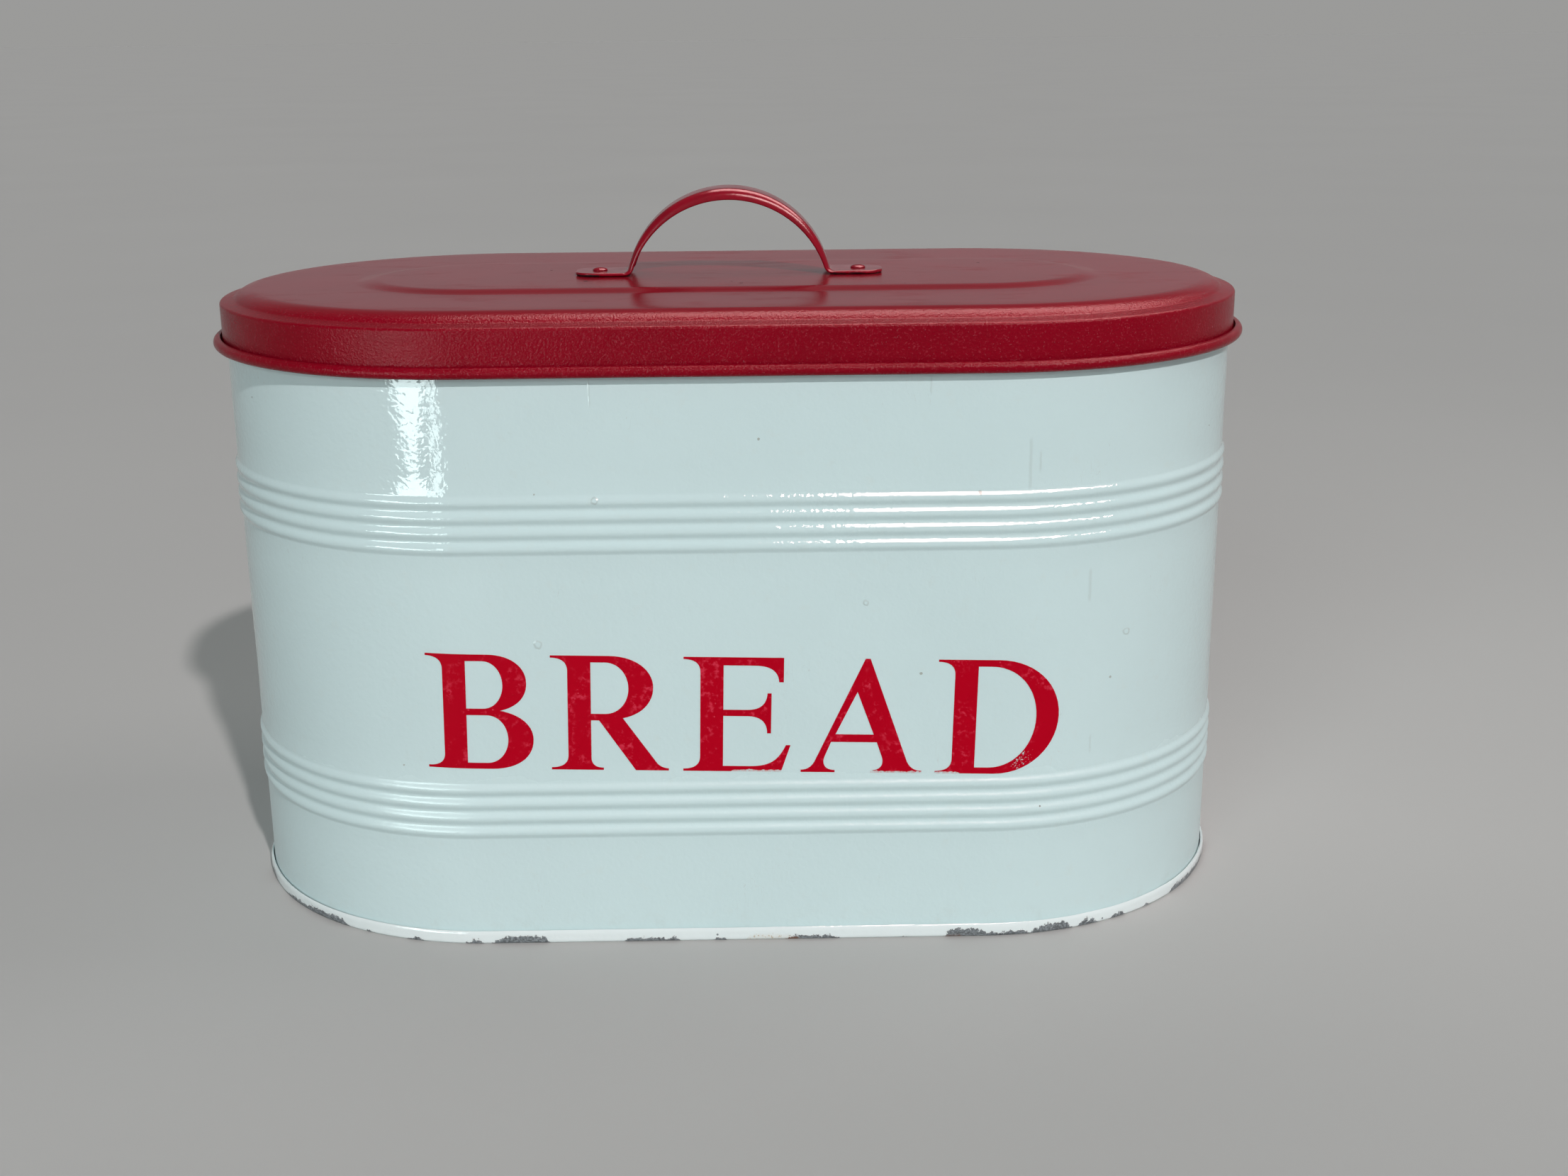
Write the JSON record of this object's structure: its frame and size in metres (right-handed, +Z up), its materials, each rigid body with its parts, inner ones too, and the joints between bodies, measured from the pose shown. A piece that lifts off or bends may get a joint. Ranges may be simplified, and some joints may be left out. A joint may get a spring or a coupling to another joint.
{
  "type": "bread bin",
  "caption": "Oval sheet-steel bread bin with beaded straight walls, a base seam, red serif lettering and a lift-off red lid with a rolled rim and an arched strap handle.",
  "frame": {"origin": "centre of the footprint on the surface it stands on", "axes": "+X along the long side, +Y to the back (lettering faces -Y), +Z up"},
  "size_m": [0.3384, 0.1734, 0.2301],
  "materials": {
    "white_enamel": "glossy cool white paint on steel, chipped to bare grey along the base seam",
    "red_lacquer": "deep red powder coat with a fine pebbled sheen",
    "red_gloss": "glossy deep red paint",
    "red_film": "thin satin red film, slightly worn and blistered"
  },
  "bodies": {
    "bin": {"body_wall": "white_enamel", "base_pan": "white_enamel", "letter_b": "red_film", "letter_r": "red_film", "letter_e": "red_film", "letter_a": "red_film", "letter_d": "red_film"},
    "lid": {"lid_shell": "red_lacquer", "handle_strap": "red_gloss", "rivet_left": "red_gloss", "rivet_right": "red_gloss"}
  },
  "joints": [
    {"name": "lid_lift", "type": "slide", "parent": "bin", "child": "lid", "axis": [0, 0, 1], "range_m": [0, 0.15]}
  ]
}
